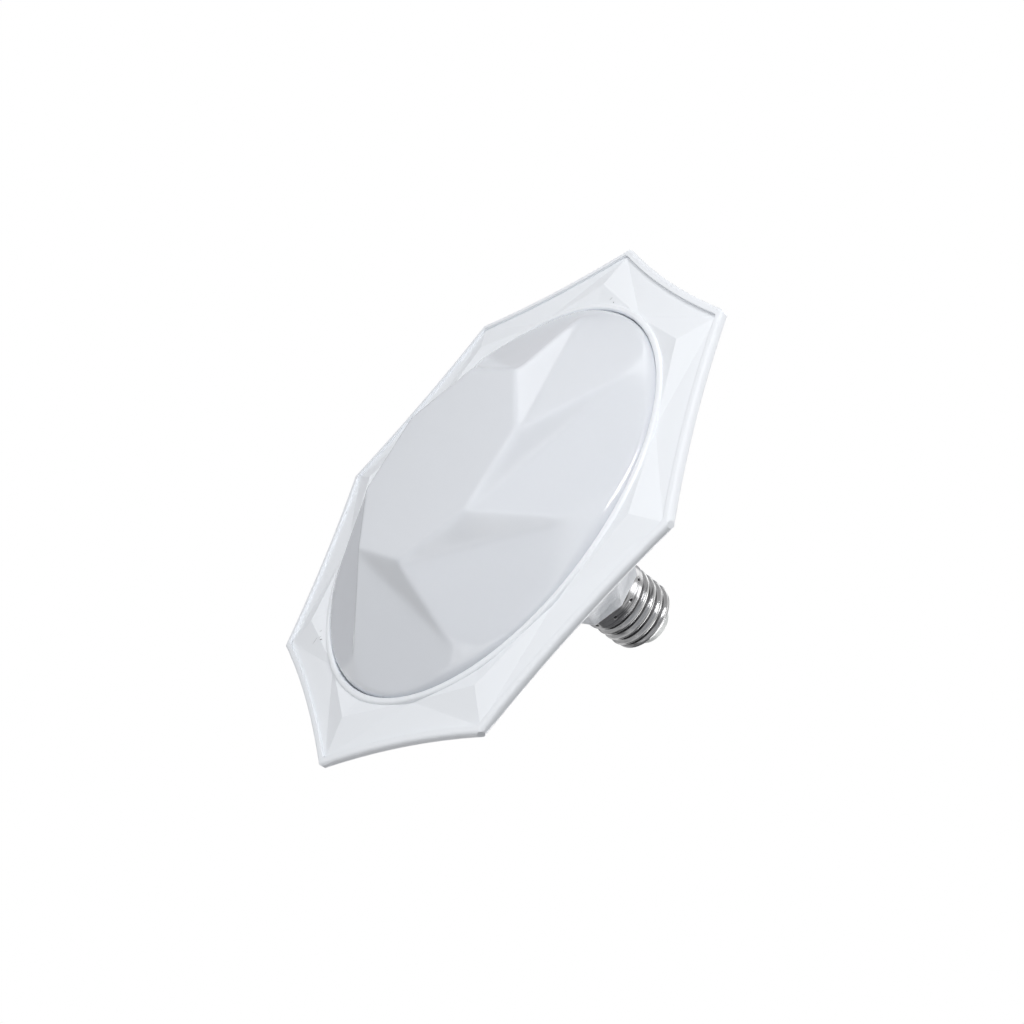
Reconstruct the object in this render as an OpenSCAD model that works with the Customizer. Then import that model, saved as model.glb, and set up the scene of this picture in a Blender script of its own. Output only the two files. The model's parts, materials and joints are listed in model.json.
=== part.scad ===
// Screw-in LED lamp with an eight-pointed dish and a pinwheel star cover.
// The lamp hangs cap up: +Z points to the lamp holder and the light leaves towards -Z.
// The origin is on the axis, at the plane where the screw cap meets the plastic neck.
// Depths in front of the rim plane (towards the room) are called fronts and are positive.

/* [Dish] */
// Radius from the axis to the outside of each rim tip
tip_r = 102; // [96:0.5:110]
// Width of the dish, from the rim's tips in to the cover ring
dish_w = 23.7; // [20:0.1:28]
// How far each side of the rim bows in between two tips
side_sag = 2; // [1:0.1:3]
// Width of the rolled rim
rim_w = 2.6; // [2:0.1:3.4]
// Height of the straight band around the rolled rim
rim_flat = 0.4; // [0.1:0.1:1]
// How much the rim's tips are blunted
tip_blunt = 0.6; // [0.3:0.1:1]
// How far the rim stands in front of the rim plane
rim_front = 2; // [1.6:0.1:2.4]
// Depth of the panels where they meet the rim
panel_edge_front = 1.1; // [0.6:0.1:1.4]
// Distance of each raised corner from the cover ring
ridge_run = 7.3; // [5:0.1:10]
// Front of the raised corner behind each tip
ridge_front = 3.5; // [2.6:0.1:5]
// Front of the panel behind a raised corner, where it meets the cover ring
ridge_foot_front = 1.7; // [1.2:0.1:2]
// Front of the valley between two raised corners
valley_front = 1.3; // [0.9:0.1:1.8]
// Wall of the moulded dish
wall = 2; // [1.6:0.1:2.6]

/* [Cover ring] */
// Width of the ring around the cover
ring_w = 2.4; // [2:0.1:3]
// Front of the ring
ring_front = 2.6; // [2.2:0.1:3.4]
// Radius of the ring's rounded edges
ring_edge_r = 0.9; // [0.5:0.05:0.95]
// Depth of the ledge that the cover stands on, behind the rim plane
cover_ledge = 2.7; // [2.2:0.1:3.2]
// Width of that ledge
ledge_w = 2; // [1.4:0.1:2.6]

/* [Back] */
// Radius across the corners of the funnel where it leaves the back
funnel_r = 40; // [36:0.5:44]
// Height of the funnel's foot above the rim plane
funnel_h = 16; // [14:0.5:19]
// Height of the back above the rim plane, at its outer edge
back_edge_h = 6; // [5.6:0.1:7.5]
// How far the corners of the back's slope would reach past the cover ring
back_reach = 9.7; // [8:0.1:12]
// How far the neck's corners stand out around the cap
neck_step = 2.75; // [2.2:0.05:4]
// Turn of the neck's corners at the cap
neck_turn = 18; // [0:1:30]
// Turn of the funnel's corners at its foot
funnel_turn = -22.5; // [-30:0.5:0]
// Size of the chamfer at the neck's end
neck_chamfer = 0.8; // [0.4:0.1:1.2]

/* [Cover] */
// Gap between the cover and the ring's bore
cover_gap = 0.3; // [0.2:0.05:0.6]
// Wall of the cover
cover_wall = 1.6; // [1.2:0.1:2]
// Front of the flat middle of the star
star_front = 22.8; // [18:0.1:28]
// Distance of the star's points from the cover's edge
point_in = 6.4; // [6:0.1:8]
// Front of the star's outer points
point_front = 7.6; // [6.8:0.1:8]
// How far the shoulder cuts into the outer points
point_cut = 0.4; // [0.2:0.1:0.8]
// Turn of the outer points from the rim tips
point_turn = 4.9; // [0:0.1:9]
// Distance from the star's points in to the first inner corner of each ray
ray_in_l = 30.5; // [27:0.1:33]
// Turn of the first inner corner of each ray
ray_in_turn = 25.6; // [24:0.1:28]
// Distance from the star's points in to the second inner corner of each ray
ray_out_l = 32; // [29:0.1:34]
// Turn of the second inner corner of each ray
ray_out_turn = 58.8; // [56:0.1:61]
// Radius of the cover's rounded shoulder
shoulder_r = 9; // [7:0.1:10]
// Slope of the shoulder where it runs out under the star
shoulder_slope = 32; // [28:1:36]

/* [Light board] */
// Thickness of the aluminium heat plate
plate_t = 1.2; // [0.8:0.1:1.6]
// Gap around the heat plate
plate_gap = 0.4; // [0.2:0.1:0.8]
// Width of the heat plate's margin around the light board
board_in = 6.5; // [4:0.5:12]
// Thickness of the light board
board_t = 1.6; // [1:0.1:2]
// Radius of the wire hole through plate and board
wire_hole_r = 5; // [4:0.5:6]
// Length of one LED package
led_l = 3.5; // [3:0.1:4]
// Width of one LED package
led_w = 2.8; // [2.4:0.1:3.2]
// Height of one LED package
led_h = 0.7; // [0.5:0.1:1]
// Distance of the inner ring of LED packages from the wire hole
led_in = 15; // [12:0.5:18]
// Distance of the outer ring of LED packages from the board's edge
led_out = 7; // [4:0.5:10]
// Place of the middle ring between the other two, from 0 at the inner to 1 at the outer
led_mid_share = 0.45; // [0.4:0.01:0.55]

/* [Board screws] */
// Radius of a screw's shank
screw_r = 1.4; // [1.2:0.1:1.6]
// Radius of a screw's head
screw_head_r = 2.8; // [2.4:0.1:3.2]
// Height of a screw's head
screw_head_h = 1.7; // [1.4:0.1:2]
// Gap between the end of a screw and the end of its hole
screw_end_gap = 1; // [0.5:0.1:2]
// Radial gap around a shank
screw_gap = 0.12; // [0.08:0.01:0.2]
// Radius of the boss that takes a screw
boss_r = 3.6; // [3.2:0.1:4.2]

/* [Driver board] */
// Width of the driver board
driver_w = 22; // [20:0.5:23]
// Length of the driver board
driver_l = 40; // [38:0.5:42]
// Thickness of the driver board
driver_t = 1.6; // [1:0.1:2]
// Distance from the cap plane down to the board's top edge
driver_top = 5; // [4:0.5:6]
// How far the board stands behind the axis
driver_back = 4; // [3:0.5:5]
// Height of the space for leads between the board and the heat plate
lead_space = 9.6; // [8:0.1:14]
// Gap around the board in its guide slots
slot_gap = 0.2; // [0.1:0.05:0.3]
// Depth of each guide slot
slot_depth = 1; // [0.6:0.1:1.4]
// Gap between a part's body and the board under it
stand_off = 0.2; // [0.1:0.1:0.4]

/* [Driver parts] */
// Distance of the film capacitor's lower side from the board's top edge
film_low = 19.6; // [18:0.1:21]
// Distance of the choke's middle from the board's top edge
choke_down = 18.6; // [18:0.1:20]
// Radius of the choke's flanges
choke_r = 3.6; // [3:0.1:3.8]
// Distance of the bulk capacitor's lower end from the board's lower edge
bulk_up = 3.8; // [3:0.1:5]
// Distance of the power inductor's lower side from the board's lower edge
core_up = 4.6; // [4:0.1:6]
// Gap between the upper parts and the ones below them
part_gap = 1.2; // [0.8:0.1:2]
// Margin of the board beside its parts
part_margin = 1.4; // [1.2:0.1:2]
// Radius of the bulk capacitor
bulk_r = 5; // [4:0.1:5]
// Margin of the board beside the bulk capacitor, whose round side may stand over a guide
bulk_margin = 0.8; // [0.6:0.1:1.4]
// Gap between the bulk capacitor and the power inductor beside it
bulk_gap = 0.2; // [0.1:0.1:0.5]

/* [Screw cap] */
// Radius of the screw cap over its thread crests
thread_r = 13.2; // [13.03:0.01:13.22]
// Depth of the rolled thread
thread_depth = 1.05; // [0.9:0.01:1.15]
// Pitch of the thread
pitch = 3.629;
// How far the plain skirt stands out around the thread's crests
skirt_step = 0.25; // [0.1:0.05:0.4]
// Height of the plain skirt
skirt_h = 5.6; // [5:0.1:7]
// Height at which the thread ends
thread_end = 20.2; // [19:0.1:22]
// Turn at which the first groove leaves the skirt
groove_turn = -60; // [-180:5:180]
// Wall of the cap's metal
cap_wall = 0.5; // [0.35:0.05:0.6]
// Gap between the cap and what it is fitted over
cap_gap = 0.3; // [0.2:0.05:0.4]
// Wall of the collar that carries the cap
collar_wall = 1.8; // [1.4:0.1:2.2]
// Height of the collar inside the cap
collar_h = 13; // [10:0.5:15]
// How far the metal closes in around the insulator, from the bore
mouth_in = 0.95; // [0.7:0.05:1.5]
// How far the insulator tapers in to its end face
insulator_taper = 3.8; // [3:0.1:4.5]
// Height of the insulator above the thread's end
insulator_h = 6.5; // [6:0.1:7]
// Width of the insulator's end face around the centre contact
contact_in = 2; // [1.5:0.1:2.5]
// Height of the centre contact above the insulator
contact_h = 0.7; // [0.5:0.1:1]
// Number of crimp marks around the skirt
crimp_count = 10; // [6:1:12]
// Radius of the punch that makes the crimp marks
crimp_r = 0.6; // [0.5:0.1:0.9]
// Depth of a crimp mark
crimp_depth = 0.25; // [0.1:0.05:0.3]
// Height of the crimp marks
crimp_up = 3.2; // [2:0.1:4]

/* [Hidden] */

$fn = 96;
eps = 0.01;
sides = 8;
step = 360 / sides;
flat = cos(step / 2);

white = [0.95, 0.95, 0.94];
milk = [0.86, 0.88, 0.9];
nickel = [0.72, 0.71, 0.69];
alloy = [0.75, 0.76, 0.77];

// Cover ring, pan, heat plate and light board
ring_out_r = tip_r - dish_w;
ring_bore_r = ring_out_r - ring_w;
pan_r = ring_bore_r - ledge_w;
plate_r = pan_r - plate_gap;
plate_seat_w = 4;
plate_step = 0.5;
plate_front = -cover_ledge - plate_step;
plate_back = plate_front - plate_t;
board_front = plate_front + board_t;
board_r = plate_r - board_in;
valley_in = 0.4;
valley_r = ring_out_r - valley_in;
ridge_r = ring_out_r + ridge_run;

// The rim plane lies below the driver board, its leads and the heat plate
dish_drop = driver_top + driver_l + lead_space - plate_back;
rim_z = -dish_drop;

// Rim: each side is an arc whose centre lies outside the lamp, and two sides meet in a corner
mitre_r = tip_r + tip_blunt;
half_side = mitre_r * sin(step / 2);
side_r = (half_side * half_side + side_sag * side_sag) / (2 * side_sag);
side_centre = mitre_r * flat - side_sag + side_r;
rim_sweep = asin(half_side / side_r) + 2;
rim_h = rim_w + rim_flat;
rim_low_z = rim_z - rim_front;
panel_edge_r = tip_r - rim_w;

// Star: its points and the inner corners of its rays
cover_r = ring_bore_r - cover_gap;
point_r = cover_r - point_in;
ray_in_r = point_r - ray_in_l;
ray_out_r = point_r - ray_out_l;
foot_gap = 0.3;

// Rings of LED packages, and the screws between the outer two
led_in_r = wire_hole_r + led_in;
led_out_r = board_r - led_out;
led_mid_r = led_in_r + (led_out_r - led_in_r) * led_mid_share;
screw_circle_r = (led_mid_r + led_out_r) / 2;

// Back
back_corner_r = ring_out_r + back_reach;
back_wall = wall * 1.1;
funnel_foot_z = rim_z + funnel_h;
funnel_lap = 4;

// Screw cap
thread_turn = 36;
thread_rows = 40;
skirt_r = thread_r + skirt_step;
neck_r = skirt_r + neck_step;
root_r = thread_r - thread_depth;
thread_mid_r = root_r + thread_depth / 2;
flange_t = 0.6;
bore_r = root_r - cap_wall - cap_gap;
collar_low_r = skirt_r - cap_wall - cap_gap;
collar_in_r = bore_r - collar_wall;
collar_low_h = skirt_h - flange_t - cap_gap;
insulator_r = bore_r - mouth_in;
insulator_end_r = insulator_r - insulator_taper;
insulator_end = thread_end + insulator_h;
contact_r = insulator_end_r - contact_in;

// Driver board: its face carries the parts and looks towards +Y
driver_face_y = -driver_back + driver_t / 2;
driver_rear_y = -driver_back - driver_t / 2;
driver_low_z = -driver_top - driver_l;
part_y = driver_face_y + stand_off;
part_left = part_margin - driver_w / 2;
part_right = driver_w / 2 - part_margin;

// Power inductor: legs, windows and the winding's gap to the core
core_x = -driver_w / 2 + bulk_margin + 2 * bulk_r + bulk_gap;
core_z = driver_low_z + core_up;
core_w = part_right - core_x;
core_h = driver_l - choke_down - choke_r - part_gap - core_up;
core_d = 7;
core_leg = 1.8;
core_window = 2;
coil_t = 1.4;
coil_gap = 0.3;

// Where the two leads enter the socket on the light board
plus_y = 1.2;
minus_y = -1.4;
lead_mid_y = (plus_y + minus_y) / 2;
socket_lead_z = rim_z - 0.6;

// Routes of the four wires, from end to end; the first two are given from the rim plane
wire_r = 0.65;
plus_route = [[3, -2.3, 17], [3, -1.4, 15.8], [2.6, -0.4, 13], [2.2, 0.4, 9], [2, 1, 5], [2, 1.2, 1],
              [2.4, 1.2, -1.4], [3.8, 1.2, -2.4], [5.6, 1.2, -1.6], [7.2, 1.2, -0.8], [8.6, 1.2, -0.6]];
minus_route = [[-1, -2.3, 17], [-1, -1.6, 15.6], [-0.6, -1.4, 13], [0, -1.4, 9], [0.8, -1.4, 5],
               [1.6, -1.4, 1], [2.4, -1.4, -1.4], [3.8, -1.4, -2.4], [5.6, -1.4, -1.6],
               [7.2, -1.4, -0.8], [8.6, -1.4, -0.6]];
live_route = [[-2, -2.3, -7.5], [-2, -1.2, -6.6], [-1.9, -0.4, -4], [-1.4, 0, 0], [-0.6, 0, 6],
              [0, 0, 12], [0.3, 0, 18], [0.1, 0, 22], [0, 0, 24.6]];
neutral_route = [[4, -2.3, -7.5], [4, -1.2, -6.6], [4.6, -0.4, -4], [6, 0, 0], [7.2, 0, 6],
                 [7.8, 0, 11], [8.1, 0, 13.2], [8.8, 0, 14.5], [10, 0, 15.1],
                 [bore_r, 0, 15.2]];

// A point on a circle
function polar(r, a) = [r * cos(a), r * sin(a)];
// A point in space from a radius, a turn and a front
function spot(r, a, front) = [r * cos(a), r * sin(a), rim_z - front];
// The height of a depth in front of the rim plane
function at_front(front) = rim_z - front;
// How high a screw ends above the rim plane: under the wall of the back over its boss
function screw_top_h() = back_height(screw_circle_r + boss_r) - wall - screw_end_gap;
// Heights on the driver board, down from its top edge or up from its lower one
function below_top(down) = -driver_top - down;
function above_low(up) = driver_low_z + up;
// How high the middle of a slope of the back stands above the rim plane, at a radius
function back_height(r) =
    funnel_h - (funnel_h - back_edge_h) * (r - funnel_r * flat) / ((back_corner_r - funnel_r) * flat);

// The faces between a ring and the next one of a stack whose rings have n points each
function band(j, next, n) = [for (i = [0 : n - 1]) let (k = (i + 1) % n)
    each [[next * n + k, j * n + k, j * n + i], [next * n + i, next * n + k, j * n + i]]];

// A closed skin over a stack of rings that have equal counts of points
module skin(rings) {
    n = len(rings[0]);
    last = len(rings) - 1;
    foot = [for (i = [0 : n - 1]) i];
    head = [for (i = [n - 1 : -1 : 0]) last * n + i];
    polyhedron(points = [for (ring = rings) each ring], convexity = 6,
               faces = concat([foot, head], [for (j = [0 : last - 1]) each band(j, j + 1, n)]));
}

// A skin whose last ring runs on into the first one, so that it closes around a hollow
module loop_skin(rings) {
    n = len(rings[0]);
    count = len(rings);
    polyhedron(points = [for (ring = rings) each ring], convexity = 6,
               faces = [for (j = [0 : count - 1]) each band(j, (j + 1) % count, n)]);
}

// One ring of eight corners
function eight(r, turn, z) = [for (k = [0 : sides - 1]) concat(polar(r, turn + k * step), z)];
// The same ring part of the way from one ring to another
function between(a, b, t) = [for (k = [0 : sides - 1]) a[k] + (b[k] - a[k]) * t];

// A wire: a tube swept along its route, whose section is turned square to the route
function unit(v) = v / norm(v);
function heading(route, i) = unit(route[min(i + 1, len(route) - 1)] - route[max(i - 1, 0)]);
function tube_ring(route, i, r, n) =
    let (d = heading(route, i), u = unit(cross([0.13, 1, 0.07], d)), v = cross(d, u))
    [for (k = [0 : n - 1]) route[i] + u * r * cos(360 * k / n) + v * r * sin(360 * k / n)];
module wire(route) {
    skin([for (i = [0 : len(route) - 1]) tube_ring(route, i, wire_r, 8)]);
}

// The plan of the dish, moved inwards from the outside of its rim by an inset
module dish_plan(inset) {
    difference() {
        circle(r = tip_r - inset, $fn = 360);
        for (k = [0 : sides - 1])
            rotate(step / 2 + k * step) translate([side_centre, 0]) circle(r = side_r + inset, $fn = 720);
    }
}

// What one side of the rim leaves free: its profile is turned about the centre of the side's arc
module side_cutter() {
    reach = 14;
    edge_r = rim_w / 2;
    rotate(180 - rim_sweep) rotate_extrude(angle = 2 * rim_sweep, $fn = 720) difference() {
        translate([side_r - reach, rim_low_z - 1]) square([reach + edge_r, rim_h + 2]);
        translate([side_r, rim_low_z + edge_r]) square([rim_w, rim_h - rim_w]);
        translate([side_r + edge_r, rim_low_z + edge_r]) circle(r = edge_r, $fn = 48);
        translate([side_r + edge_r, rim_low_z + rim_h - edge_r]) circle(r = edge_r, $fn = 48);
    }
}

// The rolled rim: eight bowed sides with a round outer edge, blunted at the tips
module rim() {
    difference() {
        translate([0, 0, rim_low_z]) cylinder(r = tip_r, h = rim_h, $fn = 360);
        translate([0, 0, rim_low_z - 1]) linear_extrude(height = rim_h + 2) dish_plan(rim_w);
        for (k = [0 : sides - 1])
            rotate(step / 2 + k * step) translate([side_centre, 0, 0]) side_cutter();
    }
}

// The faceted front of the dish, as a solid that reaches back from its facets
module panel_solid() {
    back_z = funnel_foot_z;
    edge = [for (k = [0 : sides - 1]) spot(panel_edge_r, k * step, panel_edge_front)];
    ridge = [for (k = [0 : sides - 1]) spot(ridge_r, k * step, ridge_front)];
    valley = [for (k = [0 : sides - 1]) spot(valley_r, (k + 0.5) * step, valley_front)];
    foot = [for (k = [0 : sides - 1]) concat(polar(panel_edge_r, k * step), back_z)];
    fall = (ridge_front - ridge_foot_front) / (ridge_r - ring_out_r);
    points = concat(edge, ridge, valley, foot, [[0, 0, at_front(ridge_front - fall * ridge_r)]]);
    faces = [for (k = [0 : sides - 1]) let (n = (k + 1) % sides, b = (k + sides - 1) % sides, c = 4 * sides)
        each [[2 * sides + k, sides + k, k],
              [sides + k, 2 * sides + b, k],
              [n, 2 * sides + k, k],
              [sides + k, 2 * sides + k, c],
              [2 * sides + b, sides + k, c],
              [3 * sides + n, n, k],
              [3 * sides + k, 3 * sides + n, k]]];
    last = [for (k = [sides - 1 : -1 : 0]) 3 * sides + k];
    polyhedron(points = points, faces = concat(faces, [last]), convexity = 4);
}

module panels() {
    intersection() {
        translate([0, 0, rim_z - 10]) linear_extrude(height = 20) dish_plan(rim_w / 2);
        difference() {
            panel_solid();
            translate([0, 0, wall]) panel_solid();
        }
    }
}

// The faceted back and its hollow, both bounded by a round wall of radius r
module back(r, corner_r, lower, foot_r) {
    intersection() {
        translate([0, 0, rim_z - lower]) cylinder(r = r, h = funnel_h + lower, $fn = 180);
        skin([eight(corner_r, funnel_turn, rim_z - lower - 1),
              eight(corner_r, funnel_turn, rim_z + back_edge_h - lower),
              eight(foot_r, funnel_turn, funnel_foot_z - lower)]);
    }
}

// The twisted funnel from the back up to the neck; inset narrows it to make the hollow
module funnel(inset, top_z) {
    low = eight(funnel_r - inset, funnel_turn, funnel_foot_z);
    high = eight(neck_r - inset, neck_turn, -neck_chamfer);
    courses = 10;
    reach = (top_z - funnel_foot_z) / (-neck_chamfer - funnel_foot_z);
    skin(concat([eight(funnel_r - inset, funnel_turn, funnel_foot_z - funnel_lap)],
                [for (i = [0 : courses]) between(low, high, reach * i / courses)]));
}

// The round wall around the cover, with a rounded outer edge
module ring_body() {
    bend = [for (a = [0 : 15 : 90])
        [ring_out_r - ring_edge_r * (1 - cos(a)), at_front(ring_front - ring_edge_r * (1 - sin(a)))]];
    rotate_extrude($fn = 180)
        polygon(concat([[0, rim_z + back_edge_h], [ring_out_r, rim_z + back_edge_h]], bend,
                       [[0, at_front(ring_front)]]));
}

// The bore that holds the cover, flared by a rounded edge
module ring_bore() {
    bend = [for (a = [0 : 15 : 75])
        [ring_bore_r + ring_edge_r * (1 - cos(a)), at_front(ring_front - ring_edge_r * (1 - sin(a)))]];
    run = 8;
    mouth = [bend[5][0] + run * sin(75), bend[5][1] - run * cos(75)];
    rotate_extrude($fn = 180)
        polygon(concat([[0, at_front(-cover_ledge)], [ring_bore_r, at_front(-cover_ledge)]], bend,
                       [mouth, [0, mouth[1]]]));
}

module housing_outside() {
    panels();
    rim();
    ring_body();
    back(ring_out_r, back_corner_r, 0, funnel_r);
    funnel(0, -neck_chamfer);
    skin([eight(neck_r, neck_turn, -neck_chamfer), eight(neck_r - neck_chamfer, neck_turn, 0)]);
    translate([0, 0, -neck_chamfer]) cylinder(r = collar_low_r, h = collar_low_h + neck_chamfer);
    cylinder(r = bore_r, h = collar_h);
}

module housing_inside() {
    ring_bore();
    translate([0, 0, rim_z]) cylinder(r = pan_r, h = -plate_back, $fn = 180);
    back(pan_r - plate_seat_w, back_corner_r, back_wall, funnel_r);
    funnel(wall, -wall - neck_chamfer);
    translate([0, 0, -wall - 2]) cylinder(r = collar_in_r, h = collar_h + wall + 3);
}

// A post under each screw, from the heat plate up to the back
module bosses() {
    intersection() {
        back(ring_out_r, back_corner_r, 0, funnel_r);
        for (k = [0 : 3])
            rotate(k * 90 + 45) translate([screw_circle_r, 0, rim_z - plate_back])
                cylinder(r = boss_r, h = funnel_h, $fn = 48);
    }
}

// Two upright guides with a slot each, which hold the driver board by its long edges
module board_guides() {
    guide_wall = 2;
    guide_short = 3;
    guide_w = driver_t + 2 * guide_wall;
    intersection() {
        funnel(wall / 2, -wall);
        for (side = [0, 1]) mirror([side, 0, 0])
            translate([driver_w / 2 - slot_depth, -driver_back - guide_w / 2, driver_low_z])
                cube([funnel_r, guide_w, driver_l - guide_short]);
    }
}

module housing() {
    hole_top_h = screw_top_h() + screw_end_gap;
    color(white) difference() {
        union() {
            difference() {
                housing_outside();
                housing_inside();
            }
            bosses();
            board_guides();
        }
        translate([-driver_w / 2 - slot_gap, -driver_back - driver_t / 2 - slot_gap, driver_low_z - 1])
            cube([driver_w + 2 * slot_gap, driver_t + 2 * slot_gap, driver_l + 1 + slot_gap]);
        for (k = [0 : 3])
            rotate(k * 90 + 45) translate([screw_circle_r, 0, at_front(plate_back) - 1])
                cylinder(r = screw_r + screw_gap, h = hole_top_h + plate_back + 1, $fn = 32);
    }
}

// The star: a flat middle, eight steep rays and eight gentle panels that fall to the shoulder
module star_solid(lower) {
    panel_reach = point_r * flat - ray_in_r * cos(ray_in_turn - point_turn + step / 2);
    fall = (star_front - point_front) / panel_reach * flat;
    margin = 2;
    out_r = (cover_r + margin) / flat;
    out_front = point_front - fall * (out_r - point_r);
    middle = [for (k = [0 : sides - 1]) each
        [spot(ray_out_r, ray_out_turn + (k - 1) * step, star_front - lower),
         spot(ray_in_r, ray_in_turn + k * step, star_front - lower)]];
    tips = [for (k = [0 : sides - 1]) spot(point_r, point_turn + k * step, point_front - lower)];
    outer = [for (k = [0 : sides - 1]) spot(out_r, point_turn + k * step, out_front - lower)];
    foot = [for (k = [0 : sides - 1]) spot(out_r, point_turn + k * step, -funnel_h)];
    p = 2 * sides;
    q = 3 * sides;
    s = 4 * sides;
    faces = [for (k = [0 : sides - 1]) let (n = (k + 1) % sides)
        each [[2 * n, 2 * k + 1, p + k],
              [2 * n + 1, 2 * n, p + k],
              [p + n, 2 * n + 1, p + k],
              [q + k, q + n, p + n, p + k],
              [s + k, s + n, q + n, q + k]]];
    polyhedron(points = concat(middle, tips, outer, foot),
               faces = concat(faces, [[for (i = [0 : 2 * sides - 1]) i],
                                      [for (k = [sides - 1 : -1 : 0]) s + k]]), convexity = 4);
}

// The round body of the cover: a skirt, a rounded shoulder and a cone that only cuts the star's points
module shoulder_body(r, round_r, foot_front, lower) {
    courses = 14;
    round_x = r - round_r;
    end_x = round_x + round_r * sin(shoulder_slope);
    end_front = point_front - point_cut - (end_x - point_r) * tan(shoulder_slope) - lower;
    round_front = end_front - round_r * cos(shoulder_slope);
    apex_front = end_front + end_x * tan(shoulder_slope);
    bend = [for (i = [0 : courses]) let (a = (90 - shoulder_slope) * i / courses)
        [round_x + round_r * cos(a), at_front(round_front + round_r * sin(a))]];
    rotate_extrude($fn = 180)
        polygon(concat([[0, at_front(foot_front)], [r, at_front(foot_front)]], bend,
                       [[0, at_front(apex_front)]]));
}

module cover() {
    foot_front = -cover_ledge + foot_gap;
    skin_drop = cover_wall * 1.15;
    color(milk) difference() {
        intersection() {
            star_solid(0);
            shoulder_body(cover_r, shoulder_r, foot_front, 0);
        }
        intersection() {
            star_solid(skin_drop);
            shoulder_body(cover_r - cover_wall, shoulder_r - cover_wall, foot_front - 1, skin_drop);
        }
    }
}

module heat_plate() {
    color(alloy) difference() {
        translate([0, 0, at_front(plate_front)]) cylinder(r = plate_r, h = plate_t, $fn = 180);
        translate([0, 0, at_front(plate_front) - 1]) cylinder(r = wire_hole_r, h = plate_t + 2);
        screw_holes(at_front(plate_front) - 1, plate_t + 2);
    }
}

module screw_holes(z, h) {
    for (k = [0 : 3])
        rotate(k * 90 + 45) translate([screw_circle_r, 0, z])
            cylinder(r = screw_r + 3 * screw_gap, h = h, $fn = 32);
}

module light_board() {
    color(white) difference() {
        translate([0, 0, at_front(board_front)]) cylinder(r = board_r, h = board_t, $fn = 180);
        translate([0, 0, at_front(board_front) - 1]) cylinder(r = wire_hole_r, h = board_t + 2);
        screw_holes(at_front(board_front) - 1, board_t + 2);
    }
}

// One ring of LED packages, each with the shallow cup that holds its phosphor
module led_ring(r, count, turn) {
    for (k = [0 : count - 1])
        rotate(turn + k * 360 / count) translate([r, 0, at_front(board_front + led_h)]) difference() {
            translate([-led_l / 2, -led_w / 2, 0]) cube([led_l, led_w, led_h]);
            translate([0, 0, -eps]) cylinder(r = led_w * 0.4, h = 0.15, $fn = 24);
        }
}

module led_packages() {
    color([0.95, 0.85, 0.45]) {
        led_ring(led_in_r, 8, step / 2);
        led_ring(led_mid_r, 16, step / 4);
        led_ring(led_out_r, 24, step / 6);
    }
}

module board_screws() {
    color(nickel) for (k = [0 : 3])
        rotate(k * 90 + 45) translate([screw_circle_r, 0, at_front(board_front)]) {
            cylinder(r = screw_r, h = screw_top_h() + board_front, $fn = 32);
            difference() {
                translate([0, 0, -screw_head_h]) cylinder(r = screw_head_r, h = screw_head_h, $fn = 48);
                for (turn = [0, 90]) rotate(turn)
                    translate([-1.5, -0.25, -screw_head_h - 1]) cube([3, 0.5, 1.8]);
            }
        }
}

// The push-in socket on the light board, open where its two leads go in
module lead_socket() {
    body = [8, 7, 3.4];
    start_x = 7.6;
    lead_depth = 5;
    color(white) difference() {
        translate([start_x, lead_mid_y - body[1] / 2, at_front(board_front + body[2])]) cube(body);
        for (y = [plus_y, minus_y]) translate([start_x - 1, y, socket_lead_z]) rotate([0, 90, 0])
            cylinder(r = wire_r + 0.25, h = lead_depth, $fn = 24);
    }
}

module driver_board() {
    color([0.16, 0.42, 0.24])
        translate([-driver_w / 2, driver_rear_y, driver_low_z]) cube([driver_w, driver_t, driver_l]);
}

module bridge_rectifier() {
    body = [6, 2.4, 4.8];
    color([0.12, 0.12, 0.13]) translate([part_right - body[0], part_y, below_top(13.6)]) cube(body);
}

// A round body lying along X on two bent wire legs
module fuse_resistor() {
    body_r = 1.5;
    body_l = 8;
    leg_r = 0.35;
    leg_span = 10.8;
    color([0.3, 0.5, 0.42]) translate([1, part_y + body_r, below_top(5)]) {
        translate([-body_l / 2, 0, 0]) rotate([0, 90, 0]) cylinder(r = body_r, h = body_l, $fn = 40);
        translate([-leg_span / 2, 0, 0]) rotate([0, 90, 0]) cylinder(r = leg_r, h = leg_span, $fn = 16);
        for (x = [-leg_span / 2, leg_span / 2]) translate([x, -body_r - stand_off, 0]) rotate([-90, 0, 0])
            cylinder(r = leg_r, h = body_r + stand_off, $fn = 16);
    }
}

// A flat disc that stands on its edge
module varistor() {
    disc_r = 3.6;
    disc_t = 3;
    color([0.2, 0.35, 0.65]) translate([part_left + disc_r, part_y + disc_r, below_top(12.6)])
        cylinder(r = disc_r, h = disc_t, $fn = 48);
}

module film_capacitor() {
    body = [9.4, 8, 4.6];
    color([0.75, 0.2, 0.15]) translate([part_left, part_y, below_top(film_low)]) cube(body);
}

// A bobbin wound between two flanges
module filter_choke() {
    bobbin_wall = 1.2;
    winding_in = 1;
    bobbin_h = 8;
    place = [part_right - choke_r, part_y, below_top(choke_down)];
    color([0.15, 0.15, 0.16]) translate(place) rotate([-90, 0, 0]) {
        cylinder(r = choke_r, h = bobbin_wall, $fn = 48);
        cylinder(r = choke_r - winding_in, h = bobbin_h, $fn = 48);
        translate([0, 0, bobbin_h - bobbin_wall]) cylinder(r = choke_r, h = bobbin_wall, $fn = 48);
    }
}

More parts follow.
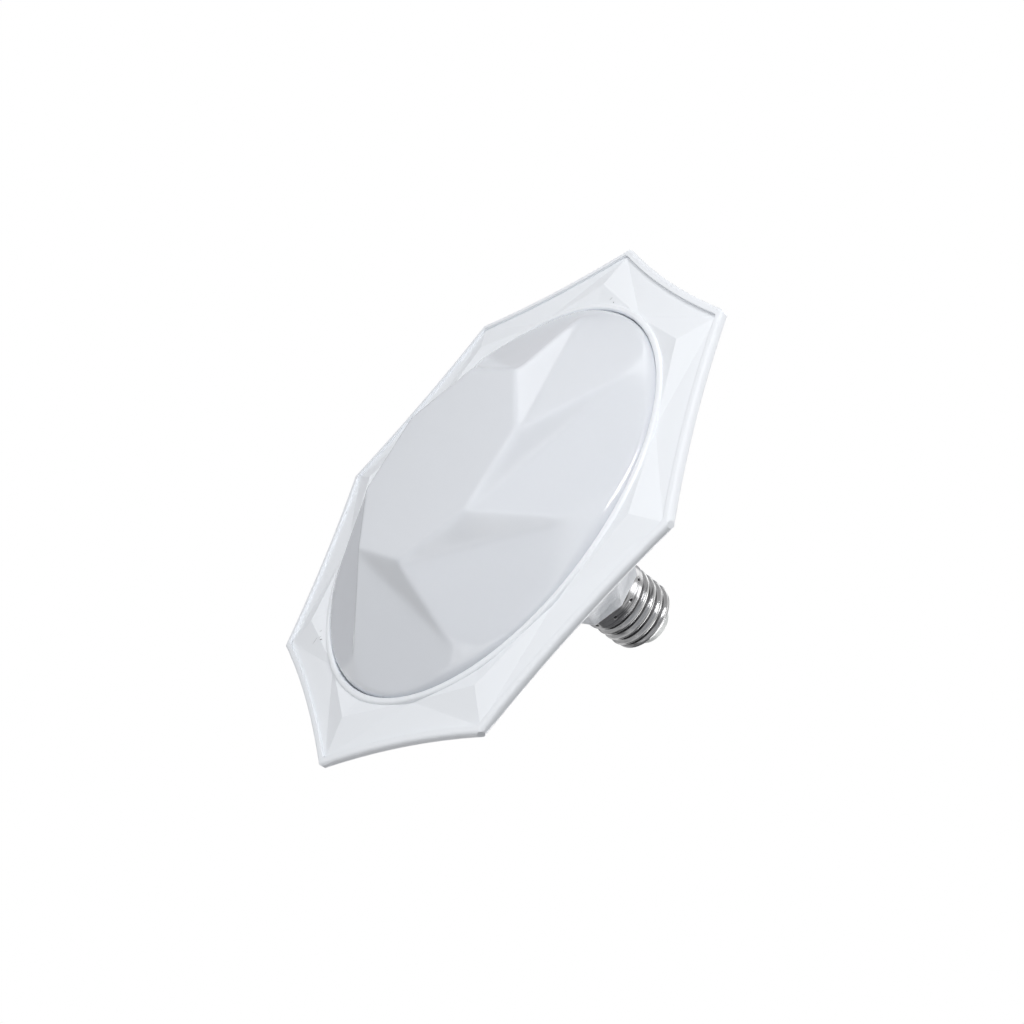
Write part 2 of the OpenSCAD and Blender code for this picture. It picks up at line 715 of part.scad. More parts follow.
// An electrolytic can lying along Z, with the rolled groove near its open end
module bulk_capacitor() {
    can_x = bulk_r + bulk_margin - driver_w / 2;
    can_l = driver_l - film_low - part_gap - bulk_up;
    groove_r = 0.9;
    groove_z = 1.8;
    place = [can_x, part_y + bulk_r, above_low(bulk_up)];
    color([0.1, 0.14, 0.22]) translate(place) rotate_extrude($fn = 48) difference() {
        square([bulk_r, can_l]);
        translate([bulk_r + groove_r / 2, groove_z]) circle(r = groove_r, $fn = 24);
    }
}

// The ferrite core with two windows; the winding fills them and goes around the middle leg
module inductor_core() {
    color([0.22, 0.22, 0.23]) translate([core_x, part_y + coil_t + coil_gap, core_z]) difference() {
        cube([core_w, core_d, core_h]);
        for (x = [core_leg, core_w - core_leg - core_window])
            translate([x, -1, core_leg]) cube([core_window, core_d + 2, core_h - 2 * core_leg]);
    }
}

module inductor_coil() {
    inner_w = core_w - 2 * core_leg - 2 * core_window + 2 * coil_gap;
    inner_d = core_d + 2 * coil_gap;
    coil_h = core_h - 2 * core_leg - 2 * coil_gap;
    start_z = core_z + core_leg + coil_gap;
    color([0.85, 0.7, 0.2]) translate([core_x + core_w / 2, part_y, start_z]) difference() {
        translate([-inner_w / 2 - coil_t, 0, 0]) cube([inner_w + 2 * coil_t, inner_d + 2 * coil_t, coil_h]);
        translate([-inner_w / 2, coil_t, -1]) cube([inner_w, inner_d, coil_h + 2]);
    }
}

module output_capacitor() {
    can_r = 1.9;
    can_l = 5;
    color([0.1, 0.14, 0.22]) translate([part_right - can_r, part_y, above_low(2.4)]) rotate([-90, 0, 0])
        cylinder(r = can_r, h = can_l, $fn = 40);
}

module control_chip() {
    body = [5, 1.6, 4];
    color([0.1, 0.1, 0.11]) translate([-2.5, driver_rear_y - body[1], below_top(25)]) cube(body);
}

module output_diode() {
    body = [4.3, 2.2, 2.6];
    color([0.1, 0.1, 0.11]) translate([-7.5, driver_rear_y - body[1], below_top(29)]) cube(body);
}

module sense_resistors() {
    body = [3.2, 0.6, 1.6];
    spacing = 2.4;
    color([0.15, 0.15, 0.16]) for (k = [0 : 2])
        translate([4.5, driver_rear_y - body[1], below_top(29) + spacing * k]) cube(body);
}

module plus_lead() {
    color([0.75, 0.1, 0.08]) translate([0, 0, rim_z]) wire(plus_route);
}

module minus_lead() {
    color([0.08, 0.08, 0.09]) translate([0, 0, rim_z]) wire(minus_route);
}

module live_lead() {
    color([0.75, 0.1, 0.08]) wire(live_route);
}

module neutral_lead() {
    color([0.2, 0.35, 0.7]) wire(neutral_route);
}

// The knuckle thread: a cosine wave of one pitch that climbs once a turn and fades at both ends
function fade(z) = max(0, min(1, (z - skirt_h) / (pitch / 3), (thread_end - z) / (pitch / 3)));
function wave(z, a) = -cos(360 * (z - skirt_h) / pitch - a + groove_turn);
function thread_at(z, a) = thread_mid_r + thread_depth / 2 * fade(z) * wave(z, a);
function thread_ring(z, inset) =
    [for (k = [0 : thread_turn - 1]) let (a = 360 * k / thread_turn)
        concat(polar(thread_at(z, a) - inset, a), z)];
function round_ring(r, z) = [for (k = [0 : thread_turn - 1]) concat(polar(r, 360 * k / thread_turn), z)];

// The threaded sleeve with its lip: outside from the foot up, over the lip, and inside down again
module thread_sleeve() {
    foot_z = skirt_h - flange_t / 2;
    levels = [for (i = [0 : thread_rows]) skirt_h + (thread_end - skirt_h) * i / thread_rows];
    outside = [for (z = levels) thread_ring(z, 0)];
    inside = [for (i = [thread_rows : -1 : 0]) thread_ring(levels[i], cap_wall)];
    lip = [round_ring(thread_mid_r - 0.4, thread_end + 0.6),
           round_ring(insulator_r + cap_wall, thread_end + 1.3),
           round_ring(insulator_r, thread_end + 0.9),
           round_ring(thread_mid_r - cap_wall - 0.4, thread_end + 0.2)];
    loop_skin(concat([round_ring(thread_mid_r, foot_z)], outside, lip, inside,
                     [round_ring(thread_mid_r - cap_wall, foot_z)]));
}

// The plain skirt and the flange that closes in to the sleeve
module cap_skirt() {
    flange_in_r = thread_mid_r - cap_wall / 2;
    rotate_extrude()
        polygon([[skirt_r - cap_wall, 0], [skirt_r, 0], [skirt_r, skirt_h - 0.4],
                 [skirt_r - 0.3, skirt_h], [flange_in_r, skirt_h],
                 [flange_in_r, skirt_h - flange_t], [skirt_r - cap_wall, skirt_h - flange_t]]);
}

module cap_shell() {
    color(nickel) {
        thread_sleeve();
        difference() {
            cap_skirt();
            for (k = [0 : crimp_count - 1])
                rotate(k * 360 / crimp_count) translate([skirt_r + crimp_r - crimp_depth, 0, crimp_up])
                    sphere(r = crimp_r, $fn = 32);
        }
    }
}

module cap_insulator() {
    low_z = thread_end - 2;
    waist_r = insulator_r - cap_gap;
    color([0.8, 0.81, 0.8]) rotate_extrude()
        polygon([[contact_r / 2, low_z], [bore_r, low_z], [bore_r, thread_end], [waist_r, thread_end + 0.3],
                 [waist_r, thread_end + 1.4], [waist_r - 0.6, thread_end + 2],
                 [insulator_end_r + 0.8, insulator_end - 0.6], [insulator_end_r, insulator_end],
                 [contact_r / 2, insulator_end]]);
}

module cap_contact() {
    plug_l = 1.9;
    plug_gap = 0.1;
    color(nickel) rotate_extrude() {
        translate([0, insulator_end]) square([contact_r - contact_h / 2, contact_h]);
        translate([0, insulator_end]) square([contact_r, contact_h / 2]);
        translate([0, insulator_end - plug_l]) square([contact_r / 2 - plug_gap, plug_l + plug_gap]);
    }
}

housing();
cover();
heat_plate();
light_board();
led_packages();
board_screws();
lead_socket();
driver_board();
bridge_rectifier();
fuse_resistor();
varistor();
film_capacitor();
filter_choke();
bulk_capacitor();
inductor_core();
inductor_coil();
output_capacitor();
control_chip();
output_diode();
sense_resistors();
plus_lead();
minus_lead();
live_lead();
neutral_lead();
cap_shell();
cap_insulator();
cap_contact();
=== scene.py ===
"""Looks for a screw-in LED lamp: a white eight-pointed dish, a milky pinwheel star cover and a nickel cap.

Lengths in the classes are millimetres in the part's own frame, whose origin is on the axis where the cap
meets the neck and whose +Z points to the lamp holder. A front is a distance forward of the rim plane,
which is towards -Z. Meshes are written in metres.
"""

import json
import logging
import math
from dataclasses import dataclass, field
from enum import Enum

import bpy
import numpy as np
from mathutils import Matrix, Vector


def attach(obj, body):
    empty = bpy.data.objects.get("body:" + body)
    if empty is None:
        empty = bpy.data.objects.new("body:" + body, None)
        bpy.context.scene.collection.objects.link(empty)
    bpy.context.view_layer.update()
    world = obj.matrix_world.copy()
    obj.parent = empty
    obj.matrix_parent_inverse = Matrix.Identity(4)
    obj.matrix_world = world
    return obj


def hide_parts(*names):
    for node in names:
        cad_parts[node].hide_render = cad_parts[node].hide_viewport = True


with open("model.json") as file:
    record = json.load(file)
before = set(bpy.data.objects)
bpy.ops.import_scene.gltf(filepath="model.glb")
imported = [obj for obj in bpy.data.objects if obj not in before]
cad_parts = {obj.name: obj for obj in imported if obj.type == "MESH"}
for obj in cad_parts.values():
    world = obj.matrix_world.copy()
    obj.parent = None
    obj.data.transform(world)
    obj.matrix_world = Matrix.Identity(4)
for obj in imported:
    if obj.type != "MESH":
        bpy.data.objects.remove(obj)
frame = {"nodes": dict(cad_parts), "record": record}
log = logging.getLogger("lamp")

MM = 0.001
TINY = 0.01
SIDES = 8
STEP = math.radians(360 / SIDES)
RIM_Z = -59.0
DIRT = "3c3c3e"
FULL_WHITE = (1.0, 1.0, 1.0, 1.0)
MATTE = 0.9
ONE_QUAD = np.array([[0, 1, 2, 3]])
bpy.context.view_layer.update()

Colour = tuple[float, float, float, float]
Place = tuple[float, float, float]
Material = bpy.types.Material
Socket = bpy.types.NodeSocket


def linear(hex_colour: str) -> Colour:
    """Turn an sRGB hex value into the linear colour that a shader takes.

    Args:
        hex_colour: six hex digits, such as "f4f4f2".

    Returns:
        Red, green, blue and an alpha of 1.
    """
    parts = [int(hex_colour[i : i + 2], 16) / 255 for i in (0, 2, 4)]
    r, g, b = (c / 12.92 if c <= 0.04045 else ((c + 0.055) / 1.055) ** 2.4 for c in parts)
    return (r, g, b, 1.0)


def add_node(owner: bpy.types.ID, kind: str, inputs: dict | None = None, **settings) -> bpy.types.Node:
    """Add one node, set its properties and fill or link its inputs.

    Args:
        owner: the material or world whose node tree takes the node.
        kind: the node's type name, without the leading ShaderNode.
        inputs: input name or number to a plain value, or to an output socket that is linked to it.
        **settings: properties of the node itself.

    Returns:
        The new node.
    """
    tree = owner.node_tree
    node = tree.nodes.new("ShaderNode" + kind)
    for name, value in settings.items():
        setattr(node, name, value)
    for name, value in (inputs or {}).items():
        if isinstance(value, Socket):
            tree.links.new(value, node.inputs[name])
        else:
            node.inputs[name].default_value = value
    return node


def compute(owner: bpy.types.ID, operation: str, *values: Socket | float) -> Socket:
    """Calculate with sockets and plain numbers.

    Args:
        owner: the material or world that takes the node.
        operation: the Math node's operation.
        *values: its operands in order.

    Returns:
        The result's socket.
    """
    return add_node(owner, "Math", dict(enumerate(values)), operation=operation).outputs["Value"]


def span(mat: Material, value: Socket, start: float, end: float, low: float = 0.0, high: float = 1.0) -> Socket:
    """Map a value from one span to another and hold it at the ends.

    Args:
        mat: the material that takes the node.
        value: the socket to map.
        start: the value that becomes low.
        end: the value that becomes high.
        low: result at the start.
        high: result at the end.

    Returns:
        The result's socket.
    """
    return add_node(mat, "MapRange", {"Value": value, "From Min": start, "From Max": end,
                                      "To Min": low, "To Max": high}).outputs["Result"]


def from_axis(mat: Material, place: Socket) -> Socket:
    """Measure how far a place is from the part's axis.

    Args:
        mat: the material that takes the nodes.
        place: the Object coordinates.

    Returns:
        The distance's socket, in metres.
    """
    flat = add_node(mat, "VectorMath", {0: place, 1: (1.0, 1.0, 0.0)}, operation="MULTIPLY")
    return add_node(mat, "VectorMath", {0: flat.outputs["Vector"]}, operation="LENGTH").outputs["Value"]


def noise(mat: Material, place: Socket, size_mm: float, detail: float) -> Socket:
    """Make soft random values.

    Args:
        mat: the material that takes the node.
        place: coordinates in metres, stretched or not.
        size_mm: size of the patches.
        detail: number of finer layers.

    Returns:
        A socket that runs from 0 to 1.
    """
    return add_node(mat, "TexNoise", {"Vector": place, "Scale": 1 / (size_mm * MM),
                                      "Detail": detail}).outputs["Fac"]


def bump(mat: Material, height: Socket, depth_mm: float, normal: Socket | None = None) -> Socket:
    """Tilt the normal as relief of a given depth would.

    Args:
        mat: the material that takes the node.
        height: the relief, from 0 to 1.
        depth_mm: how much the relief's full range is.
        normal: the normal that is tilted; the mesh's own if None.

    Returns:
        The new normal's socket.
    """
    inputs = {"Height": height, "Strength": 1.0, "Distance": depth_mm * MM}
    if normal is not None:
        inputs["Normal"] = normal
    return add_node(mat, "Bump", inputs).outputs["Normal"]


def mix_colours(mat: Material, share: Socket, first: Socket | Colour, second: Socket | Colour) -> Socket:
    """Blend two colours.

    Args:
        mat: the material that takes the node.
        share: how much of the second colour shows, from 0 to 1.
        first: colour at 0.
        second: colour at 1.

    Returns:
        The colour's socket.
    """
    return add_node(mat, "Mix", {"Factor": share, 6: first, 7: second}, data_type="RGBA").outputs[2]


def new_material(name: str) -> Material:
    """Make an empty node material.

    Args:
        name: what the real material is and how its surface was made.

    Returns:
        The material, whose node tree has no nodes yet.
    """
    material = bpy.data.materials.new(name)
    material.use_nodes = True
    material.node_tree.nodes.clear()
    return material


def grid_faces(rows: int, columns: int, first: int = 0) -> np.ndarray:
    """List the quads of a grid that closes on itself along its columns.

    Vertex (i, j) has number first + i * columns + j. The quad of (i, j) runs to the next row and to the
    next column, which is column 0 after the last one.

    Args:
        rows: number of rows of vertices.
        columns: number of vertices in a row.
        first: number of the grid's first vertex.

    Returns:
        One row of four vertex numbers for each quad, counter-clockwise where rows run outwards from the
        centre and columns run counter-clockwise as seen from +Z.
    """
    i, j = np.meshgrid(np.arange(rows - 1), np.arange(columns), indexing="ij")
    k = (j + 1) % columns
    quads = np.stack([i * columns + j, (i + 1) * columns + j, (i + 1) * columns + k, i * columns + k], -1)
    return first + quads.reshape(-1, 4)


def ring_faces(columns: int, first: int, second: int) -> np.ndarray:
    """List the quads between two rings of vertices.

    Args:
        columns: number of vertices in a ring.
        first: number of the first ring's first vertex.
        second: number of the second ring's first vertex.

    Returns:
        One row of four vertex numbers for each quad, which runs along the first ring and back along the
        second.
    """
    j = np.arange(columns)
    k = (j + 1) % columns
    return np.stack([first + j, first + k, second + k, second + j], -1)


def make_object(name: str, points: np.ndarray, faces: list[np.ndarray],
                smooth: bool = True) -> bpy.types.Object:
    """Put points in millimetres and faces into a mesh object at the origin.

    Args:
        name: the piece's name.
        points: one row of x, y, z for each vertex, in millimetres.
        faces: arrays of vertex numbers, one row for each face; faces point outwards.
        smooth: whether the faces are shaded smooth.

    Returns:
        The new object, linked to the scene.
    """
    mesh = bpy.data.meshes.new(name)
    loops = np.concatenate([f.ravel() for f in faces]).astype(np.int32)
    totals = np.concatenate([np.full(len(f), f.shape[1]) for f in faces]).astype(np.int32)
    starts = np.concatenate([[0], np.cumsum(totals)[:-1]]).astype(np.int32)
    mesh.vertices.add(len(points))
    mesh.vertices.foreach_set("co", (points * MM).astype(np.float32).ravel())
    mesh.loops.add(len(loops))
    mesh.loops.foreach_set("vertex_index", loops)
    mesh.polygons.add(len(totals))
    mesh.polygons.foreach_set("loop_start", starts)
    mesh.polygons.foreach_set("use_smooth", np.full(len(totals), smooth))
    mesh.update(calc_edges=True)
    mesh.validate()
    item = bpy.data.objects.new(name, mesh)
    bpy.context.scene.collection.objects.link(item)
    return item


@dataclass(frozen=True)
class Helix:
    """The cap's thread: where it starts and ends, its pitch and the turn of the crest at its start."""

    start: float = 5.6
    end: float = 20.2
    pitch: float = 3.629
    crest_turn: float = math.radians(120)


THREAD = Helix()


class MarkKind(Enum):
    """The small marks that the photographed lamp carries, each with the share of dirt's colour it shows."""

    HAIRLINE = 0.55
    SPECK = 0.8
    SMUDGE = 0.22


@dataclass(frozen=True)
class Mark:
    """One mark: an ellipsoid that colours what it touches, turned by degrees about its own upright."""

    kind: MarkKind
    centre: Place
    half: Place
    turn: float = 0.0

    def share(self, mat: Material, place: Socket) -> Socket:
        """Find how much dirt the mark puts on a place.

        A Mapping node turns the ellipsoid into a unit ball. The dirt falls from the mark's strength to
        nothing over the ball's outer half.

        Args:
            mat: the material that takes the nodes.
            place: the Object coordinates.

        Returns:
            The share's socket.
        """
        ball = add_node(mat, "Mapping", {
            "Vector": place, "Location": tuple(c * MM for c in self.centre),
            "Rotation": (0.0, 0.0, math.radians(self.turn)), "Scale": tuple(h * MM for h in self.half)},
            vector_type="TEXTURE")
        reach = add_node(mat, "VectorMath", {0: ball.outputs["Vector"]}, operation="LENGTH")
        return span(mat, reach.outputs["Value"], 0.5, 1.0, self.kind.value, 0.0)


@dataclass(frozen=True)
class Finish:
    """A surface, named for what its material is and how it was made."""

    name: str

    def shader_inputs(self, mat: Material, place: Socket) -> dict:
        """Say what goes into the surface's shader; each kind of finish has its own.

        Args:
            mat: the material that takes the nodes.
            place: the Object coordinates.

        Returns:
            Input name to a plain value or to a socket.
        """
        raise NotImplementedError

    def build(self) -> Material:
        """Make the material, with one shader over Object coordinates."""
        mat = new_material(self.name)
        place = add_node(mat, "TexCoord").outputs["Object"]
        shader = add_node(mat, "BsdfPrincipled", self.shader_inputs(mat, place))
        add_node(mat, "OutputMaterial", {"Surface": shader.outputs["BSDF"]})
        return mat


@dataclass(frozen=True)
class MouldedPlastic(Finish):
    """Injection-moulded plastic: an even colour under a smooth skin that ripples very slightly.

    A bevel of edge_mm rounds its edges in the light. Nearer to the axis than funnel_r the bevel is
    funnel_edge_mm, which also joins the slices of the funnel's solid into smooth facets.
    """

    colour: str
    roughness: float = 0.32
    roughness_spread: float = 0.03
    ior: float = 1.49
    ripple_mm: float = 14.0
    ripple_depth_mm: float = 0.02
    grain_mm: float = 0.35
    grain_depth_mm: float = 0.004
    edge_mm: float = 0.0
    edge_samples: int = 8
    funnel_r: float = 0.0
    funnel_edge_mm: float = 6.0
    subsurface: float = 0.0
    subsurface_mm: float = 3.0
    marks: tuple[Mark, ...] = ()

    def marked_colour(self, mat: Material, place: Socket) -> Socket | Colour:
        """Mix dirt into the colour inside each mark.

        Args:
            mat: the material that takes the nodes.
            place: the Object coordinates.

        Returns:
            The colour's socket, or the plain colour where there are no marks.
        """
        if not self.marks:
            return linear(self.colour)
        dirt = self.marks[0].share(mat, place)
        for mark in self.marks[1:]:
            dirt = compute(mat, "MAXIMUM", dirt, mark.share(mat, place))
        return mix_colours(mat, dirt, linear(self.colour), linear(DIRT))

    def rounded(self, mat: Material, place: Socket) -> Socket | None:
        """Round the edges in the light.

        Args:
            mat: the material that takes the nodes.
            place: the Object coordinates.

        Returns:
            The rounded normal's socket, or None for plastic whose edges stay as the mesh has them.
        """
        if not self.edge_mm:
            return None
        radius = self.edge_mm * MM
        if self.funnel_r:
            radius = span(mat, from_axis(mat, place), self.funnel_r * MM, (self.funnel_r + 1.0) * MM,
                          self.funnel_edge_mm * MM, self.edge_mm * MM)
        return add_node(mat, "Bevel", {"Radius": radius}, samples=self.edge_samples).outputs["Normal"]

    def shader_inputs(self, mat: Material, place: Socket) -> dict:
        """Move the normal by two noises of real sizes, and the roughness by the finer one."""
        ripple = noise(mat, place, self.ripple_mm, detail=2.0)
        grain = noise(mat, place, self.grain_mm, detail=3.0)
        wave = bump(mat, ripple, self.ripple_depth_mm, self.rounded(mat, place))
        return {
            "Base Color": self.marked_colour(mat, place),
            "IOR": self.ior,
            "Roughness": span(mat, grain, 0.0, 1.0, self.roughness - self.roughness_spread,
                              self.roughness + self.roughness_spread),
            "Normal": bump(mat, grain, self.grain_depth_mm, wave),
            "Subsurface Weight": self.subsurface,
            "Subsurface Scale": self.subsurface_mm * MM,
            "Subsurface Radius": (1.0, 1.0, 1.0)}


@dataclass(frozen=True)
class WorkedMetal(Finish):
    """Metal with fine lines along its last working direction and soft darker streaks.

    The lines and streaks are noise in coordinates that are squeezed across the working direction, which
    is along X for sheet and round the axis for turned or pressed pieces. line_mm and streak_mm are their
    sizes where nothing is squeezed. The streaks' colour comes in as their noise goes from streak_from to
    streak_to, and the lines make the metal smoother by up to polish and rougher by up to wear.
    """

    colour: str
    streak: str
    roughness: float = 0.28
    polish: float = 0.08
    wear: float = 0.12
    line_mm: float = 1.5
    line_depth_mm: float = 0.002
    streak_mm: float = 6.0
    streak_from: float = 0.45
    streak_to: float = 0.7
    around_axis: bool = False
    squeeze_sheet: Place = (1.0, 6.0, 1.0)
    squeeze_round: Place = (0.15, 0.15, 6.0)

    def shader_inputs(self, mat: Material, place: Socket) -> dict:
        """Draw the lines with stretched noise and mix in the streaks with a coarser one."""
        squeeze = self.squeeze_round if self.around_axis else self.squeeze_sheet
        along = add_node(mat, "Mapping", {"Vector": place, "Scale": squeeze}).outputs["Vector"]
        lines = noise(mat, along, self.line_mm, detail=4.0)
        streaks = span(mat, noise(mat, along, self.streak_mm, detail=3.0), self.streak_from, self.streak_to)
        return {
            "Base Color": mix_colours(mat, streaks, linear(self.colour), linear(self.streak)),
            "Metallic": 1.0,
            "Roughness": span(mat, lines, 0.0, 1.0, self.roughness - self.polish, self.roughness + self.wear),
            "Normal": bump(mat, lines, self.line_depth_mm)}


@dataclass(frozen=True)
class RolledThread(Finish):
    """Nickel plate on a rolled thread, with a painted highlight on the crests, painted shade in the grooves and
    crimp marks, and dark streaks round it that are painted reflections of dark surroundings.

    Going from groove to crest as 0 to 1, the flank's colour holds from groove_end to crest_start. Painted shade
    lies in the crimp marks, below painted_shade_end and nearer to the axis than painted_shade_r.
    """

    # the crest colour is a painted highlight and the groove colour is painted shade
    crest: str
    flank: str
    groove: str
    # the streak colour is painted reflections of dark surroundings
    streak: str
    helix: Helix = THREAD
    groove_end: float = 0.07
    crest_start: float = 0.6
    run_in: float = 0.2
    fade: float = 1.0
    # where the crimp marks get painted shade
    painted_shade_r: float = 13.38
    painted_shade_depth: float = 0.15
    painted_shade_end: float = 4.9
    roughness: float = 0.18
    polish: float = 0.06
    wear: float = 0.12
    streak_long_mm: float = 9.0
    streak_high_mm: float = 0.8
    streak_depth_mm: float = 0.01
    streak_from: float = 0.52
    streak_to: float = 0.68
    painted_reflection_strength: float = 0.8

    def wave(self, mat: Material, place: Socket) -> Socket:
        """Follow the thread: the cosine of height over pitch less the angle round the axis, 1 on a crest.

        At both ends of the thread the wave fades to 0, a flank's value.

        Args:
            mat: the material that takes the nodes.
            place: the Object coordinates.

        Returns:
            The wave's socket.
        """
        helix = self.helix
        axes = add_node(mat, "SeparateXYZ", {"Vector": place}).outputs
        turn = compute(mat, "ARCTAN2", axes["Y"], axes["X"])
        climb = compute(mat, "MULTIPLY_ADD", axes["Z"], 2 * math.pi / (helix.pitch * MM),
                        helix.crest_turn - 2 * math.pi * helix.start / helix.pitch)
        wave = compute(mat, "COSINE", compute(mat, "SUBTRACT", climb, turn))
        first = helix.start + self.run_in
        rise = span(mat, axes["Z"], first * MM, (first + self.fade) * MM)
        fall = span(mat, axes["Z"], helix.end * MM, (helix.end - self.fade) * MM)
        return compute(mat, "MULTIPLY", wave, compute(mat, "MULTIPLY", rise, fall))

    def crimp_painted_shade(self, mat: Material, place: Socket) -> Socket:
        """Find the crimp marks that take the painted shade: places below the thread that lie nearer to the axis
        than the skirt.

        Args:
            mat: the material that takes the nodes.
            place: the Object coordinates.

        Returns:
            A socket that is 1 in a mark and 0 elsewhere.
        """
        deep = span(mat, from_axis(mat, place), self.painted_shade_r * MM, (self.painted_shade_r - self.painted_shade_depth) * MM)
        height = add_node(mat, "SeparateXYZ", {"Vector": place}).outputs["Z"]
        return compute(mat, "MULTIPLY", deep, compute(mat, "LESS_THAN", height, self.painted_shade_end * MM))

    def shader_inputs(self, mat: Material, place: Socket) -> dict:
        """Let the wave pick the painted crest highlight, the flank or the painted groove shade, and lay the
        streaks, painted dark reflections, over it with stretched noise.
        """
        # painted highlight on the crests and painted shade in the grooves, following the thread
        ramp = add_node(mat, "ValToRGB", {"Fac": span(mat, self.wave(mat, place), -1.0, 1.0)})
        stops = ramp.color_ramp.elements
        stops[0].position, stops[0].color = 0.0, linear(self.groove)
        stops[1].position, stops[1].color = 1.0, linear(self.crest)
        for spot in (self.groove_end, self.crest_start):
            stops.new(spot).color = linear(self.flank)
        # dark streaks painted in as reflections of dark surroundings; the same noise also moves the roughness
        # and the normal
        squeeze = (1.0, 1.0, self.streak_long_mm / self.streak_high_mm)
        along = add_node(mat, "Mapping", {"Vector": place, "Scale": squeeze}).outputs["Vector"]
        lines = noise(mat, along, self.streak_long_mm, detail=3.0)
        streaks = span(mat, lines, self.streak_from, self.streak_to, 0.0, self.painted_reflection_strength)
        with_painted_reflections = mix_colours(mat, streaks, ramp.outputs["Color"], linear(self.streak))
        return {
            # painted shade: the crimp marks take the groove's dark colour
            "Base Color": mix_colours(mat, self.crimp_painted_shade(mat, place), with_painted_reflections, linear(self.groove)),
            "Metallic": 1.0,
            "Roughness": span(mat, lines, 0.0, 1.0, self.roughness - self.polish, self.roughness + self.wear),
            "Normal": bump(mat, lines, self.streak_depth_mm)}


@dataclass(frozen=True)
class MatteBoard(Finish):
    """Plain board or paper without any gloss."""

    colour: str

    def shader_inputs(self, mat: Material, place: Socket) -> dict:
        """Use the plain colour."""
        return {"Base Color": linear(self.colour), "Roughness": MATTE}


# Milky polycarbonate: light goes a few millimetres into it, so its edges look soft
MILKY = MouldedPlastic("milky_polycarbonate_moulded", "e3e7ee", roughness=0.12, ior=1.58, grain_depth_mm=0.001,
                       ripple_depth_mm=0.03, subsurface=0.4, subsurface_mm=5.0)
# The scratch and the specks by two of the tips, as the photograph shows them
MARKS = (Mark(MarkKind.SPECK, (78.3, 10.7, -61.4), (0.35, 0.3, 3.0)),
         Mark(MarkKind.SMUDGE, (79.8, 8.3, -61.4), (1.0, 0.5, 3.0), 60.0),
         Mark(MarkKind.HAIRLINE, (-66.5, -51.3, -61.2), (2.2, 0.16, 3.0), 32.0),
         Mark(MarkKind.SPECK, (-65.3, -47.1, -61.0), (0.8, 0.3, 3.0), 70.0),
         Mark(MarkKind.HAIRLINE, (-64.6, -48.6, -61.0), (0.9, 0.14, 3.0), 25.0),
         Mark(MarkKind.SMUDGE, (-62.5, -50.9, -61.0), (0.7, 0.5, 3.0), 20.0))
# White polycarbonate blend: glossy from a polished mould, with small rounded edges
WHITE = MouldedPlastic("white_polycarbonate_moulded", "f3f6fa", roughness=0.3, ior=1.5, edge_mm=0.35,
                       funnel_r=40.5, grain_depth_mm=0.002, marks=MARKS)
# Nickel on brass: bright, with darker streaks where the plating is thin and handled
NICKEL = WorkedMetal("nickel_plated_brass_pressed", "b4b2ae", "6a6866", roughness=0.24, around_axis=True)
# The same plate on the rolled thread, with painted shade in the grooves, a painted highlight on the crests and
# dark streaks as painted reflections
THREAD_NICKEL = RolledThread("nickel_plated_brass_rolled", crest="c4c4c4", flank="9c9c9d", groove="303032",
                             streak="3a3a3c")
# Light-grey moulding compound at the cap's end
INSULATOR = MouldedPlastic("grey_thermoset_moulded", "cfd2d0", roughness=0.45, edge_mm=0.3)

SLOT_FINISHES = {
    "white_plastic": WHITE,
    "plain_aluminium": WorkedMetal("aluminium_sheet_rolled", "d2d4d6", "b5b7ba", roughness=0.4),
    "white_board": MouldedPlastic("white_solder_mask_printed", "eeeeea", roughness=0.45, grain_mm=0.2),
    "led_yellow": MouldedPlastic("phosphor_silicone_cast", "e6c84a", roughness=0.35, grain_mm=0.15),
    "zinc_steel": WorkedMetal("zinc_plated_steel_headed", "c9cac6", "9b9c98", roughness=0.3),
    "white_nylon": MouldedPlastic("white_nylon_moulded", "e8e7df", roughness=0.5),
    "green_board": MouldedPlastic("green_solder_mask_printed", "1f6a3c", roughness=0.35, grain_mm=0.3),
    "black_epoxy": MouldedPlastic("black_epoxy_moulded", "1c1c1e", roughness=0.5, grain_mm=0.2),
    "green_coating": MouldedPlastic("green_lacquer_dipped", "3f7a5c", roughness=0.4),
    "blue_coating": MouldedPlastic("blue_epoxy_dipped", "274f9c", roughness=0.35),
    "red_case": MouldedPlastic("red_polyester_potted", "a8281c", roughness=0.3),
    "black_sleeve": MouldedPlastic("black_sleeve_shrunk", "161b2a", roughness=0.3),
    "ferrite": MouldedPlastic("ferrite_sintered", "303033", roughness=0.6, grain_mm=0.25, grain_depth_mm=0.02),
    "yellow_tape": MouldedPlastic("yellow_polyester_tape_wound", "d9b32a", roughness=0.3),
    "red_insulation": MouldedPlastic("red_vinyl_extruded", "b01f16", roughness=0.4),
    "black_insulation": MouldedPlastic("black_vinyl_extruded", "151516", roughness=0.4),
    "blue_insulation": MouldedPlastic("blue_vinyl_extruded", "2a4fae", roughness=0.4),
    "nickel_plate": NICKEL,
    "grey_insulator": INSULATOR,
}


